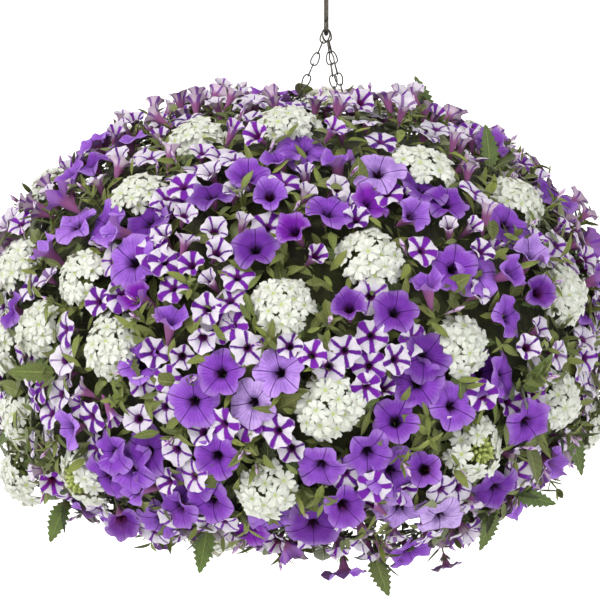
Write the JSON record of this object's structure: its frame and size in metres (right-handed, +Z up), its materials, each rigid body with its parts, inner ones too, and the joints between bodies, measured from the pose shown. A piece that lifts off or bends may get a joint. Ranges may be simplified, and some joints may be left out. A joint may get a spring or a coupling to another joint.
{
  "type": "petunia hanging basket",
  "caption": "Hanging pot on a hook and three wire-link chains, hidden in a ball of striped and violet petunias and white verbena heads.",
  "frame": {"origin": "the point inside the hook's crook where the basket hangs from its support", "axes": "+Z up, +X to the right and -Y towards the viewer of the picture"},
  "size_m": [0.7676, 0.7683, 0.7138],
  "materials": {
    "dark_steel": "dark weathered wire",
    "pot_plastic": "dark green moulded plastic",
    "soil": "loose peat potting soil",
    "petunia_growth": "striped white and violet and plain violet petals over green leaves",
    "verbena_floret": "white petals with green eyes"
  },
  "bodies": {
    "root": {"hanger_hook": "dark_steel", "chain_strand_left": "dark_steel", "chain_strand_front": "dark_steel", "chain_strand_back": "dark_steel", "pot": "pot_plastic", "potting_soil": "soil", "petunia_plant_1": "petunia_growth", "petunia_plant_2": "petunia_growth", "petunia_plant_3": "petunia_growth", "petunia_plant_4": "petunia_growth", "petunia_plant_5": "petunia_growth", "petunia_plant_6": "petunia_growth", "verbena_head_01": "verbena_floret", "verbena_head_02": "verbena_floret", "verbena_head_03": "verbena_floret", "verbena_head_04": "verbena_floret", "verbena_head_05": "verbena_floret", "verbena_head_06": "verbena_floret", "verbena_head_07": "verbena_floret", "verbena_head_08": "verbena_floret", "verbena_head_09": "verbena_floret", "verbena_head_10": "verbena_floret", "verbena_head_11": "verbena_floret", "verbena_head_12": "verbena_floret", "verbena_head_13": "verbena_floret", "verbena_head_14": "verbena_floret", "verbena_head_15": "verbena_floret", "verbena_head_16": "verbena_floret", "verbena_head_17": "verbena_floret", "verbena_head_18": "verbena_floret", "verbena_head_19": "verbena_floret", "verbena_head_20": "verbena_floret", "verbena_head_21": "verbena_floret", "verbena_head_22": "verbena_floret", "verbena_head_23": "verbena_floret", "verbena_head_24": "verbena_floret", "verbena_head_25": "verbena_floret", "verbena_head_26": "verbena_floret", "verbena_head_27": "verbena_floret", "verbena_head_28": "verbena_floret", "verbena_head_29": "verbena_floret", "verbena_head_30": "verbena_floret", "verbena_head_31": "verbena_floret", "verbena_head_32": "verbena_floret", "verbena_head_33": "verbena_floret", "verbena_head_34": "verbena_floret", "verbena_head_35": "verbena_floret", "verbena_head_36": "verbena_floret", "verbena_head_37": "verbena_floret", "verbena_head_38": "verbena_floret", "verbena_head_39": "verbena_floret", "verbena_head_40": "verbena_floret", "verbena_head_41": "verbena_floret", "verbena_head_42": "verbena_floret", "verbena_head_43": "verbena_floret"}
  },
  "joints": []
}
